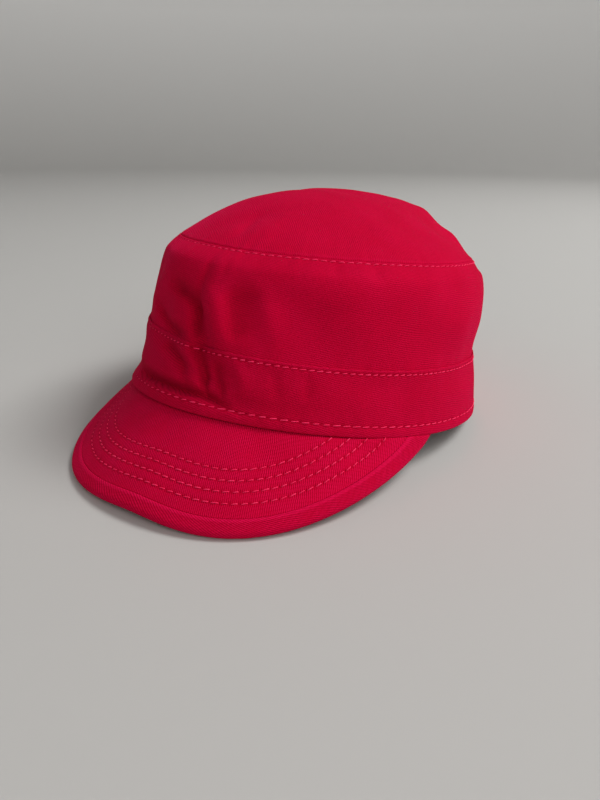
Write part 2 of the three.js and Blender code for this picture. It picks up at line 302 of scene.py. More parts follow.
def column(name, height):
    """A smooth curve through one column of RINGS."""
    rows, values = RINGS["height"], RINGS[name]
    last = len(rows) - 1
    before = np.maximum(np.arange(last + 1) - 1, 0)
    after = np.minimum(np.arange(last + 1) + 1, last)
    slopes = (values[after] - values[before]) / (rows[after] - rows[before])
    low = np.clip(np.searchsorted(rows, height) - 1, 0, last - 1)
    span = rows[low + 1] - rows[low]
    share = (height - rows[low]) / span
    square, cube = share**2, share**3
    return (
        (2 * cube - 3 * square + 1) * values[low]
        + (cube - 2 * square + share) * span * slopes[low]
        + (3 * square - 2 * cube) * values[low + 1]
        + (cube - square) * span * slopes[low + 1]
    )


def smooth_crown(angle, height):
    """The crown without its folds. The angle runs from the front towards the wearer's left."""
    angle, height = np.broadcast_arrays(angle, height)
    across = signed_power(np.sin(angle), 2 / OVAL_POWER)
    along = signed_power(np.cos(angle), 2 / OVAL_POWER)
    reach = np.where(along > 0, column("front", height), column("back", height))
    drop = column("sag", height) * across**2 + column("rise", height) * np.cos(angle)
    return np.stack(
        [
            column("side", height) * across + DOME_SHIFT * (height / SEAM["height"]) ** 2,
            -reach * along,
            height - drop - column("slump", height) * np.sin(angle),
        ],
        axis=-1,
    )


def folds_at(folds, angle, height):
    degrees = signed_degrees(np.degrees(angle))
    total = 0
    for fold in folds:
        middle = fold["angle"] + fold["lean"] * (height - fold["height"])
        across = bell(signed_degrees(degrees - middle) / fold["width"])
        total = total + fold["out"] * across * plateau((height - fold["height"]) / fold["reach"])
    return total


def rounded(course):
    """A smooth course through a few points."""
    padded = np.concatenate([2 * course[:1] - course[1:2], course, 2 * course[-1:] - course[-2:-1]])
    pieces = []
    for a, b, c, d in zip(padded, padded[1:], padded[2:], padded[3:]):
        share = np.linspace(0, 1, 5)[:-1, None]
        curve = b + (c - a) / 2 * share + (a - 2.5 * b + 2 * c - d / 2) * share**2
        pieces.append(curve + (1.5 * (b - c) + (d - a) / 2) * share**3)
    return np.concatenate(pieces + [course[-1:]])


def creases_at(angle, height):
    degrees = signed_degrees(np.degrees(angle))
    place = np.stack(np.broadcast_arrays(degrees * DEGREE, height), axis=-1)
    total = 0
    for course, depth, left, right, narrow in CREASES:
        course = rounded(np.array(course) * (DEGREE, 1.0))
        lengths = np.linalg.norm(np.diff(course, axis=0), axis=1)
        whole = lengths.sum()
        best = np.full(place.shape[:-1], np.inf)
        side = np.zeros(best.shape)
        walked = np.zeros(best.shape)
        before = 0
        for start, end, length in zip(course, course[1:], lengths):
            ahead = (end - start) / length
            away = place - start
            along = np.clip(away @ ahead, 0, length)
            distance = np.linalg.norm(away - along[..., None] * ahead, axis=-1)
            turn = ahead[0] * away[..., 1] - ahead[1] * away[..., 0]
            nearer = distance < best
            best = np.where(nearer, distance, best)
            side = np.where(nearer, turn, side)
            walked = np.where(nearer, before + along, walked)
            before += length
        share = walked / whole
        width = np.where(side > 0, left, right) * (1 + (narrow - 1) * share)
        ends = smooth_step(-0.05, 0.3, share) * (1 - 0.8 * smooth_step(0.75, 1, share))
        total = total + depth * ends * bell(best / width)
    return total


def crown_normal(angle, height):
    step = 0.01
    round_it = smooth_crown(angle + step, height) - smooth_crown(angle - step, height)
    up = smooth_crown(angle, height + step) - smooth_crown(angle, height - step)
    return unit(np.cross(round_it, up))


def softness(angle, height):
    """The slack of the cloth, which both the wall and the band follow."""
    points = smooth_crown(angle, height)
    loose = smooth_step(0, 30, height) * (1 - smooth_step(60, WALL_TOP, height))
    broad = 0.5 * waves(points, 34, seed=3) + 0.22 * waves(points, 13, seed=4)
    seams = 0.07 * ripple(angle, 9, seed=5) * bell((height - BAND_TOP) / 5)
    seams = seams + 0.06 * ripple(angle, 9, seed=6) * bell((height - WALL_TOP) / 5)
    seams = seams + 0.08 * ripple(angle, 10, seed=7) * bell((height - HEM_ROW) / 4)
    return broad * (0.25 + 0.75 * loose) + seams


def crown_point(angle, height, outside):
    """A point at a distance outside the crown's folded surface, or inside it where that is negative."""
    folds = folds_at(FOLDS, angle, height) + folds_at(FINE_FOLDS, angle, height)
    folds = folds + creases_at(angle, height)
    reach = folds + softness(angle, height) + outside
    return smooth_crown(angle, height) + crown_normal(angle, height) * np.asarray(reach)[..., None]


def back_seam(angle):
    """The groove of the seam behind, which closes the wall and the band."""
    behind = (np.mod(angle, TURN) - np.pi) * HEM["back"]
    return -0.45 * bell(behind / 0.8) + 0.15 * bell((np.abs(behind) - 2.2) / 1.2)


# ---- The top panel's surface ----


def dents_at(x, y):
    total = 0
    for dent in np.concatenate([DENTS, FINE_DENTS]):
        turn = np.radians(dent["turn"])
        along = (x - dent["x"]) * np.cos(turn) + (y - dent["y"]) * np.sin(turn)
        across = (y - dent["y"]) * np.cos(turn) - (x - dent["x"]) * np.sin(turn)
        total = total + dent["out"] * bell(along / dent["along"]) * bell(across / dent["across"])
    return total


def dome_point(angle, share, inside):
    """A point of the top panel: 0 is its middle and 1 is the top seam."""
    plain = smooth_crown(angle, SEAM["height"])
    slack_rim = crown_point(angle, SEAM["height"], 0) - plain
    middle = np.array([DOME_SHIFT, (SEAM["back"] - SEAM["front"]) / 2, SEAM["height"]])
    point = middle + (plain - middle) * share[..., None] + slack_rim * share[..., None] ** 12
    slack = 0.45 * waves(point, 26, seed=8) + 0.2 * waves(point, 10, seed=9)
    dent = (dents_at(point[..., 0], point[..., 1]) + slack) * (1 - share**DENT_FADE_POWER)
    point[..., 2] += DOME_HEIGHT * (1 - share**DOME_POWER) + dent
    fall = DOME_HEIGHT * DOME_POWER * share ** (DOME_POWER - 1)
    reach = plain - middle
    reach[..., 2] = 0
    normal = reach * (fall / np.square(reach).sum(-1))[..., None]
    normal[..., 2] = 1
    return point - unit(normal) * np.asarray(inside)[..., None]


# ---- The visor's surface ----


def hem_front(x):
    share = np.minimum(np.abs(x) / (HEM["side"] + BAND_PROUD), 1)
    return -(HEM["front"] + BAND_PROUD) * (1 - share**OVAL_POWER) ** (1 / OVAL_POWER)


def visor_top(x, y, least_run):
    run = np.maximum(hem_front(x) - y, least_run)
    fall = VISOR_FALL - VISOR_SIDE_EASE * (x / VISOR_EASE_WIDTH) ** 2
    hem_height = -HEM["sag"] * (x / HEM["side"]) ** 2
    lift = 1.1 * smooth_step(50, 80, np.abs(x)) * bell(np.maximum(run, 0) / 3)
    return np.stack(np.broadcast_arrays(x, y, hem_height - GAP - run * fall + lift), axis=-1)


def visor_normal(plan):
    x, y = plan[..., 0], plan[..., 1]
    step = 0.05
    across = visor_top(x + step, y, -np.inf) - visor_top(x - step, y, -np.inf)
    along = visor_top(x, y + step, -np.inf) - visor_top(x, y - step, -np.inf)
    return unit(np.cross(across, along))


def visor_point(plan, under):
    """The visor's surface at places seen from above, moved a distance into the visor."""
    return visor_top(plan[..., 0], plan[..., 1], 0) - visor_normal(plan) * np.asarray(under)[..., None]


def rim_plan(angle, inset):
    """The rim seen from above, moved inwards. The angle runs from the front to the wearer's left."""

    def at(turn):
        x = VISOR_HALF_WIDTH * signed_power(np.sin(turn), 2 / VISOR_POWER)
        y = VISOR_ROOT - VISOR_REACH * signed_power(np.cos(turn), 2 / VISOR_POWER)
        return np.stack([x, y], axis=-1)

    # The sewn rim has pulled in a little at the front and on the wearer's left, and out on the right.
    inset = inset + 0.7 * smooth_step(-0.7, -0.2, angle) - 0.8 * smooth_step(-0.6, -1.0, angle)
    step = 0.02
    along = unit(at(angle + step) - at(angle - step))
    inwards = np.stack([-along[..., 1], along[..., 0]], axis=-1)
    return at(angle) + inwards * np.asarray(inset)[..., None]


def end_angle(inset, clearance):
    """The angle at which the rim, moved inwards, comes within a distance of the hem."""
    low, high = 0.0, np.pi / 2
    for _ in range(40):
        middle = (low + high) / 2
        x, y = rim_plan(middle, inset)
        if hem_front(x) - y > clearance:
            low = middle
        else:
            high = middle
    return low


def pressed(points):
    """Cloth that would reach below the surface the cap rests on is pressed flat against it."""
    low = (points[..., 1] * np.sin(REST_TILT) - REST_HEIGHT) / np.cos(REST_TILT)
    points[..., 2] = np.maximum(points[..., 2], low)
    return points


# ---- From the cap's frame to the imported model's ----


def tipped(points):
    x, y, z = np.moveaxis(points, -1, 0)
    return np.stack(
        [
            x,
            y * np.cos(REST_TILT) + z * np.sin(REST_TILT),
            z * np.cos(REST_TILT) - y * np.sin(REST_TILT) + REST_HEIGHT,
        ],
        axis=-1,
    )


def row_shift():
    """How far the CAD wall lies from where it would be without its move to the frame's origin."""
    angle = np.arange(CAD_COLUMNS)[:, None] * TURN / CAD_COLUMNS
    height = np.array(CAD_WALL_HEIGHTS)[None, :]
    folds = folds_at(FOLDS, angle, height)
    wall = smooth_crown(angle, height) + crown_normal(angle, height) * folds[..., None]
    wall = tipped(wall).reshape(-1, 3)
    low, high = (np.array(corner) / TO_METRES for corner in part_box("side_wall"))
    shift = (low + high - wall.min(0) - wall.max(0)) / 2
    shift[2] = 0
    return shift


SHIFT = row_shift()


def to_row(points):
    return (tipped(points) + SHIFT) * TO_METRES


# ---- Building meshes ----


def faces_of(rows, columns, wrap_rows, wrap_columns):
    """The corners of each quad, as rows and columns that haven't been wrapped yet."""
    row = np.arange(rows if wrap_rows else rows - 1)[:, None]
    place = np.arange(columns if wrap_columns else columns - 1)[None, :]
    corners = [(row, place), (row, place + 1), (row + 1, place + 1), (row + 1, place)]
    return [tuple(part.ravel() for part in np.broadcast_arrays(*corner)) for corner in corners]


def cloth_object(name, points, grain, marks, wrap_rows=False, wrap_columns=False):
    """A closed mesh from a grid of points, with its grain in millimetres as its UV map.

    marks holds values of each point for the material. A grid that wraps its rows only gets an end
    at its first and last column. One that wraps its columns only is closed with a fan at each pole.
    """
    rows, columns = points.shape[:2]
    vertices = points.reshape(-1, 3)
    corners = faces_of(rows, columns, wrap_rows, wrap_columns)
    faces = np.stack([(r % rows) * columns + c % columns for r, c in corners], axis=-1).tolist()
    loops = [np.stack([grain[r, c] for r, c in corners], axis=1).reshape(-1, 2)]
    values = {key: value.ravel() for key, value in marks.items()}
    if wrap_rows and not wrap_columns:
        for edge in (0, columns - 1):
            for step in range(rows // 2 - 1):
                ladder = [step, step + 1, rows - 2 - step, rows - 1 - step]
                ladder = ladder if edge == 0 else ladder[::-1]
                faces.append([place * columns + edge for place in ladder])
                loops.append(grain[ladder, edge])
    if wrap_columns and not wrap_rows:
        for edge in (0, rows - 1):
            ring = np.arange(columns)
            pole = len(vertices)
            vertices = np.vstack([vertices, points[edge].mean(0)])
            values = {key: np.append(value, marks[key][edge].mean()) for key, value in values.items()}
            ahead = (ring + 1) % columns
            order = (ahead, ring) if edge == 0 else (ring, ahead)
            fan = np.stack([np.full(columns, pole), *(edge * columns + part for part in order)], axis=-1)
            faces.extend(fan.tolist())
            middle = grain[edge, :-1].mean(0)
            for first, second in zip(*order):
                loops.append(np.array([middle, grain[edge, first], grain[edge, second]]))
    made = mesh_object(name, vertices, faces, np.concatenate(loops))
    for key, value in values.items():
        attribute = made.data.attributes.new(key, "FLOAT", "POINT")
        attribute.data.foreach_set("value", value.astype(np.float32))
    return made


def mesh_object(name, vertices, faces, grain):
    """A smooth mesh whose faces look outwards, with its grain as its UV map."""
    mesh = bpy.data.meshes.new(name)
    mesh.from_pydata(to_row(vertices).tolist(), [], faces)
    mesh.uv_layers.new(name="grain").data.foreach_set("uv", grain.astype(np.float32).ravel())
    mesh.shade_smooth()
    if signed_volume(mesh) < 0:
        mesh.flip_normals()
    return linked(name, mesh)


def linked(name, data):
    made = bpy.data.objects.new(name, data)
    bpy.context.scene.collection.objects.link(made)
    return made


def signed_volume(mesh):
    mesh.calc_loop_triangles()
    corners = np.empty(len(mesh.loop_triangles) * 3, np.int32)
    mesh.loop_triangles.foreach_get("vertices", corners)
    places = np.empty(len(mesh.vertices) * 3, np.float32)
    mesh.vertices.foreach_get("co", places)
    a, b, c = np.moveaxis(places.reshape(-1, 3)[corners.reshape(-1, 3)].astype(float), 1, 0)
    return float((a * np.cross(b, c)).sum() / 6)


def finish_piece(made, slot, *nodes, material=None):
    made.data.materials.append(material or MATERIALS[slot])
    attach(made, "root")
    if nodes:
        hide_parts(*nodes)


def roll(middle_height, middle_depth, radius, start, end, count):
    """Places round a rolled edge, as heights and depths, from one turn to another in degrees."""
    turns = np.radians(np.linspace(start, end, count))
    return middle_height + radius * np.sin(turns), middle_depth + radius * np.cos(turns)


# ---- Materials ----


class Nodes:
    """A new material's nodes, each added with its inputs set or linked by name or number."""

    def __init__(self, name):
        self.material = bpy.data.materials.new(name)
        self.material.use_nodes = True
        self.tree = self.material.node_tree
        self.tree.nodes.clear()
        self.place = self.add("ShaderNodeTexCoord").outputs["Object"]

    def add(self, kind, inputs=(), **settings):
        made = self.tree.nodes.new(kind)
        for key, value in settings.items():
            setattr(made, key, value)
        for key, value in dict(inputs).items():
            if isinstance(value, bpy.types.NodeSocket):
                self.tree.links.new(value, made.inputs[key])
            else:
                made.inputs[key].default_value = value
        return made

    def math(self, operation, *values):
        return self.add("ShaderNodeMath", enumerate(values), operation=operation).outputs[0]

    def plus(self, total, value, share):
        """The total and a share of a value."""
        return self.math("ADD", total, self.math("MULTIPLY", value, share))

    def saw(self, value):
        """A ramp from -1 to 1 between one whole number and the next."""
        return self.math("SUBTRACT", self.math("MULTIPLY", self.math("FRACT", value), 2.0), 1.0)

    def scaled(self, vector, scale):
        return self.add("ShaderNodeVectorMath", {0: vector, 1: scale}, operation="MULTIPLY").outputs[0]

    def noise(self, vector, scale, detail=2.0):
        inputs = {"Vector": vector, "Scale": scale, "Detail": detail}
        return self.add("ShaderNodeTexNoise", inputs).outputs["Fac"]

    def spread(self, value, low, high, to_low=0.0, to_high=1.0):
        inputs = {0: value, 1: low, 2: high, 3: to_low, 4: to_high}
        return self.add("ShaderNodeMapRange", inputs).outputs[0]

    def mix(self, factor, first, second):
        inputs = {0: factor, 6: first, 7: second}
        return self.add("ShaderNodeMix", inputs, data_type="RGBA").outputs[2]

    def finish(self, inputs):
        """Ends the material with a surface that has these inputs."""
        surface = self.add("ShaderNodeBsdfPrincipled", inputs)
        self.add("ShaderNodeOutputMaterial", {0: surface.outputs[0]})
        return self.material


def twill_material(name, wale_angle, pitch, contrast, base):
    """Cotton twill: slanting wales made of short yarn floats, fibre fuzz, and where marked, wear with painted
    highlight and painted shade.
    """
    nodes = Nodes(name)
    grain = nodes.add("ShaderNodeUVMap", uv_map="grain").outputs[0]
    turned = nodes.add(
        "ShaderNodeVectorRotate",
        {"Vector": grain, "Angle": -np.radians(wale_angle)},
        rotation_type="Z_AXIS",
    ).outputs[0]
    split = nodes.add("ShaderNodeSeparateXYZ", {0: turned}).outputs
    across = nodes.plus(nodes.math("DIVIDE", split[1], pitch), nodes.noise(nodes.place, 90.0), 2.0)
    off_wale = nodes.saw(across)
    wale = nodes.math("SQRT", nodes.math("SUBTRACT", 1.0, nodes.math("MULTIPLY", off_wale, off_wale)))
    along = nodes.plus(nodes.math("DIVIDE", split[0], pitch * 1.9), nodes.math("FLOOR", across), 0.381)
    yarn_end = nodes.math("POWER", nodes.math("ABSOLUTE", nodes.saw(along)), 6.0)
    fibre = nodes.noise(nodes.scaled(turned, (1.3, 4.0, 1.0)), 1.0, 3.0)
    fuzz = nodes.noise(nodes.scaled(turned, (9.0, 3.0, 1.0)), 1.0, 3.0)
    speckle = nodes.noise(nodes.place, 1500.0)
    blotch = nodes.noise(nodes.place, 38.0, 3.0)
    patch = nodes.spread(nodes.noise(nodes.place, 140.0), 0.3, 0.7, 0.6, 1.4)
    yarn = nodes.math("SUBTRACT", nodes.plus(wale, yarn_end, -0.22), 0.72)
    yarn = nodes.math("MULTIPLY", yarn, patch)
    height = yarn
    for value, share in ((fibre, 0.7), (fuzz, 0.35), (speckle, 0.25)):
        height = nodes.plus(height, value, share)
    tone = nodes.math("MULTIPLY", yarn, contrast)
    for value, half, share in ((blotch, 0.3, 0.12), (fibre, 0.25, 0.16), (speckle, 0.2, 0.08)):
        tone = nodes.math("ADD", tone, nodes.spread(value, 0.5 - half, 0.5 + half, -share, share))
    # Marked places are made lighter, for wear with painted highlight on ridges, and darker, for painted shade
    # in creases and at needle holes.
    for mark, share in (("wear_and_highlight", 0.4), ("shade", -0.5)):
        value = nodes.add("ShaderNodeAttribute", attribute_name=mark).outputs["Fac"]
        tone = nodes.plus(tone, value, share)
    lit = nodes.mix(nodes.spread(tone, 0.0, 1.0), base, RED_LIGHT)
    bump = nodes.add("ShaderNodeBump", {"Strength": 0.55, "Distance": 0.0002, "Height": height})
    return nodes.finish(
        {
            "Base Color": nodes.mix(nodes.spread(tone, 0.0, -1.0), lit, RED_DARK),
            "Roughness": 0.88,
            "Specular IOR Level": 0.03,
            "Sheen Weight": 0.3,
            "Sheen Roughness": 0.45,
            "Sheen Tint": (1.0, 0.01, 0.15, 1.0),
            "Normal": bump.outputs[0],
        }
    )


def thread_material():
    nodes = Nodes("thread")
    grain = nodes.add("ShaderNodeUVMap", uv_map="grain").outputs[0]
    split = nodes.add("ShaderNodeSeparateXYZ", {0: grain}).outputs
    twist = nodes.plus(nodes.math("MULTIPLY", split[0], 3.4), split[1], 1.3)
    ply = nodes.math("SINE", nodes.math("MULTIPLY", twist, TURN))
    bump = nodes.add("ShaderNodeBump", {"Strength": 0.5, "Distance": 0.0001, "Height": ply})
    share = nodes.spread(nodes.noise(nodes.place, 300.0), 0.3, 0.7)
    return nodes.finish(
        {
            "Base Color": nodes.mix(share, THREAD_RED, THREAD_LIGHT),
            "Roughness": 0.55,
            "Specular IOR Level": 0.05,
            "Normal": bump.outputs[0],
        }
    )


RED = (0.56, 0.0005, 0.028, 1.0)
# A darker copy of RED for the band and the binding: painted shade on the same cloth.
RED_SHADED = (0.5, 0.0004, 0.025, 1.0)
# The lightest and darkest tones of the twill: yarn, random tone and wear move towards them, and so do the
# painted highlight and painted shade.
RED_LIGHT = (0.86, 0.006, 0.09, 1.0)
RED_DARK = (0.16, 0.0, 0.004, 1.0)
THREAD_RED = (0.9, 0.014, 0.09, 1.0)
THREAD_LIGHT = (1.0, 0.04, 0.15, 1.0)

# Each twill: the turn of its wales in degrees, their pitch in millimetres, the contrast and the colour.
TWILLS = {
    "top_twill": (137, 0.84, 0.65, RED),
    "wall_twill": (-7, 0.8, 0.6, RED),
    "band_twill": (-11, 0.82, 0.6, RED_SHADED),
    "visor_twill": (109, 0.8, 1.4, RED),
    "binding_twill": (33, 0.92, 1.2, RED_SHADED),
}
MATERIALS = {name: twill_material(name, *look) for name, look in TWILLS.items()}
THREAD = thread_material()


# ---- Stitch rows ----


class StitchRow:
    """A row of stitches. It tells how many of them lie before an angle, and at what angle one lies."""

    def __init__(self, angles, points, pitch):
        walked = run_length(points, 0)
        self.angles = angles
        self.count = round(walked[-1] / pitch)
        self.stitches = walked / (walked[-1] / self.count)

    def phase(self, angle):
        return np.interp(angle, self.angles, self.stitches)

    def angle(self, stitches):
        return np.interp(stitches, self.stitches, self.angles)


class RingRow(StitchRow):
    """A row round the crown at one height."""

    def __init__(self, height, pitch):
        angles = np.linspace(0, TURN, RING_SAMPLES)
        super().__init__(angles, smooth_crown(angles, height), pitch)

    def phase(self, angle):
        return super().phase(np.mod(angle, TURN))


class RimRow(StitchRow):
    """A row along the visor's rim at one inset, centred on the visor's middle."""

    def __init__(self, inset, pitch):
        self.inset = inset
        self.end = end_angle(inset, -ROW_TUCK)
        angles = np.linspace(-self.end, self.end, ROW_SAMPLES)
        super().__init__(angles, visor_point(rim_plan(angles, inset), 0), pitch)


HEM_STITCHES = RingRow(HEM_ROW, HEM_PITCH)
BAND_STITCHES = RingRow(BAND_ROW, BAND_PITCH)
TOP_STITCHES = RingRow(TOP_ROW, TOP_PITCH)
VISOR_STITCHES = [RimRow(inset, VISOR_PITCH) for inset in VISOR_ROWS]


def near_hole(row, angle):
    """1 at the needle holes between two stitches, and 0 at the middle of a stitch."""
    return 0.5 + 0.5 * np.cos(TURN * row.phase(angle))


def pulled_in(row, angle, off_row):
    """How far the cloth is pulled in along a row, most at the needle holes."""
    return -ROW_DEPTH * bell(off_row / ROW_WIDTH) * (0.55 + 0.45 * near_hole(row, angle))


# Painted shade along a stitch row, darkest at the needle holes.
def needle_hole_shade(row, angle, off_row):
    return bell(off_row / 0.55) * (0.35 + 0.65 * near_hole(row, angle) ** 3)


def stitch_object(name, row, place, slot, seed):
    """Short rounds of thread that dive into the cloth at both ends. place gives points and normals."""
    random = np.random.default_rng(seed)
    number = np.arange(row.count)[:, None]
    along = np.linspace(-0.5, 0.5, THREAD_STATIONS)[None, :]
    length = THREAD_SHARE * (1 + 0.08 * random.normal(size=(row.count, 1)))
    points, normals = place(row.angle(number + 0.5 + along * length))
    ahead = unit(np.gradient(points, axis=1))
    side = unit(np.cross(normals, ahead))
    arch = np.sqrt(np.clip(1 - (2 * along) ** 2, 0, 1))
    slant = 0.2 + 0.05 * random.normal(size=(row.count, 1))
    points = points + normals * (THREAD_RISE * arch - THREAD_SINK)[..., None]
    points = points + side * (slant * 2 * along)[..., None]
    radius = THREAD_RADIUS * (0.75 + 0.25 * arch) * (1 + 0.06 * random.normal(size=(row.count, 1)))
    stations, sides = THREAD_STATIONS, THREAD_SIDES
    turns = np.arange(sides) * TURN / sides
    rounds = normals[..., None, :] * np.sin(turns)[:, None] + side[..., None, :] * np.cos(turns)[:, None]
    vertices = (points[..., None, :] + rounds * radius[..., None, None]).reshape(-1, 3)
    faces = []
    loops = []
    for stitch in range(row.count):
        first = stitch * stations * sides
        last = first + (stations - 1) * sides
        for station in range(stations - 1):
            low = first + station * sides
            left, right = station / stations, (station + 1) / stations
            for turn in range(sides):
                after = (turn + 1) % sides
                faces.append([low + turn, low + after, low + sides + after, low + sides + turn])
                loops += [(left, turn / sides), (left, (turn + 1) / sides)]
                loops += [(right, (turn + 1) / sides), (right, turn / sides)]
        faces.append([first + turn for turn in reversed(range(sides))])
        faces.append([last + turn for turn in range(sides)])
        loops += [(0, turn / sides) for turn in reversed(range(sides))]
        loops += [(1, turn / sides) for turn in range(sides)]
    finish_piece(mesh_object(name, vertices, faces, np.array(loops)), slot, material=THREAD)


# ---- The pieces ----

RING_ANGLES = np.arange(CROWN_COLUMNS)[None, :] * TURN / CROWN_COLUMNS
CLOSED_ANGLES = np.linspace(0, TURN, CROWN_COLUMNS + 1)


def walked_round(height):
    """The distance walked round the crown at a height, back to where it starts."""
    return run_length(smooth_crown(CLOSED_ANGLES, height), 0)


def ring_grain(heights, reference):
    """The grain of a strip that runs round the crown: along it, and up it."""
    up = np.broadcast_to(heights[:, None], (len(heights), len(CLOSED_ANGLES)))
    return np.stack([np.broadcast_to(walked_round(reference), up.shape), up], axis=-1)


def strip_outline(outer, inner, depth, cloth, low_count):
    """Heights and depths up the outside of a strip, down its inside and round both rolled edges."""
    radius = cloth / 2
    top, top_depth = roll(inner[0], depth + radius, radius, 15, 165, 7)
    low, low_depth = roll(inner[-1], depth + radius, radius, 195, 345, low_count)
    sides = [np.full(outer.shape, depth + cloth), top_depth, np.full(inner.shape, depth), low_depth]
    return np.concatenate([outer, top, inner, low]), np.concatenate(sides)


def band_thinning(height):
    """How much nearer the wall the band lies towards its folded upper edge."""
    return 1.05 * smooth_step(12, 26, height)


def band_relief(angle, height):
    edges = 0.05 * bell((height - 26.2) / 0.7) + 0.22 * bell((height - 1.9) / 1.5)
    edges = edges - band_thinning(height)
    rows = pulled_in(BAND_STITCHES, angle, height - BAND_ROW)
    rows = rows + pulled_in(HEM_STITCHES, angle, height - HEM_ROW)
    return edges + rows + back_seam(angle)


def band_outer(angle, height):
    return pressed(crown_point(angle, height, BAND_PROUD + band_relief(angle, height)))


def band():
    radius = BAND_CLOTH / 2
    outer = np.concatenate(
        [np.linspace(radius, 7, 16), np.linspace(7.7, 22.5, 18), np.linspace(23.1, BAND_TOP - radius, 9)]
    )
    inner = np.linspace(BAND_TOP - radius, radius, 14)
    heights, depths = strip_outline(outer, inner, GAP, BAND_CLOTH, 7)
    height = heights[:, None]
    share_out = ((depths - GAP) / BAND_CLOTH)[:, None]
    relief = band_relief(RING_ANGLES, np.clip(height, 0, BAND_TOP)) * share_out
    relief = relief - 0.2 * smooth_step(12, 26, height) * (1 - share_out)
    points = pressed(crown_point(RING_ANGLES, height, depths[:, None] + relief))
    is_outer = share_out > 0.5
    # Both rolled edges are lighter: wear, with painted highlight on them.
    edge = 0.25 * bell((height - 26.6) / 0.6) + 0.3 * bell((height - 0.6) / 0.9)
    # Painted shade at the needle holes of both rows and in the creases.
    holes = needle_hole_shade(BAND_STITCHES, RING_ANGLES, height - BAND_ROW)
    holes = holes + needle_hole_shade(HEM_STITCHES, RING_ANGLES, height - HEM_ROW)
    holes = 0.7 * holes - 0.3 * creases_at(RING_ANGLES, height)
    marks = {"wear_and_highlight": edge * is_outer + 0 * RING_ANGLES, "shade": holes * is_outer}
    fold = BAND_TOP - radius + np.linspace(0.4, 2.1, 7)
    behind = 2 * BAND_TOP + 1
    flat_heights = np.concatenate([outer, fold, behind - inner, behind + np.linspace(0.4, 2.5, 8)])
    grain = ring_grain(flat_heights, 13)
    made = cloth_object("band_cloth", points, grain, marks, wrap_rows=True, wrap_columns=True)
    finish_piece(made, "band_twill", "band")
    length = walked_round(13)[-1] * TO_METRES


def wall_relief(angle, height):
    edge = 0.12 * bell((height - 69.6) / 0.5)
    return edge + pulled_in(TOP_STITCHES, angle, (height - TOP_ROW) * 1.5) + back_seam(angle)


def side_wall():
    radius = WALL_CLOTH / 2
    low, high = LAP_BOTTOM + radius, WALL_TOP - radius
    outer = np.concatenate([np.linspace(low, 26, 6), np.linspace(27, 66, 46), np.linspace(66.5, high, 9)])
    heights, depths = strip_outline(outer, np.linspace(high, low, 24), -WALL_CLOTH, WALL_CLOTH, 5)
    height = heights[:, None]
    share_out = 1 + (depths / WALL_CLOTH)[:, None]
    relief = wall_relief(RING_ANGLES, height) * share_out
    points = crown_point(RING_ANGLES, height, depths[:, None] + relief)
    is_outer = share_out > 0.5
    # Painted shade at the needle holes of the top row and in the creases.
    holes = 0.5 * needle_hole_shade(TOP_STITCHES, RING_ANGLES, (height - TOP_ROW) * 1.5)
    holes = holes - 0.3 * creases_at(RING_ANGLES, height)
    # The top edge is lighter: wear, with painted highlight on its ridge.
    marks = {
        "wear_and_highlight": 0.5 * bell((height - 69.8) / 0.5) * is_outer + 0 * RING_ANGLES,
        "shade": holes * is_outer,
    }
    up = run_length(smooth_crown(np.zeros(len(heights)), heights), 0)
    grain = ring_grain(np.append(up, up[-1] + 1), 45)
    made = cloth_object("side_wall_cloth", points, grain, marks, wrap_rows=True, wrap_columns=True)
    finish_piece(made, "wall_twill", "side_wall")
    tall = run_length(smooth_crown(np.zeros(60), np.linspace(LAP_BOTTOM, WALL_TOP, 60)), 0)[-1] * TO_METRES
    length = walked_round(45)[-1] * TO_METRES


def corner(start, bend, end, count):
    """A rounded corner from start to end that leans towards the bend."""
    share = np.linspace(0, 1, count + 2)[1:-1, None, None]
    return (1 - share) ** 2 * start + 2 * share * (1 - share) * bend + share**2 * end


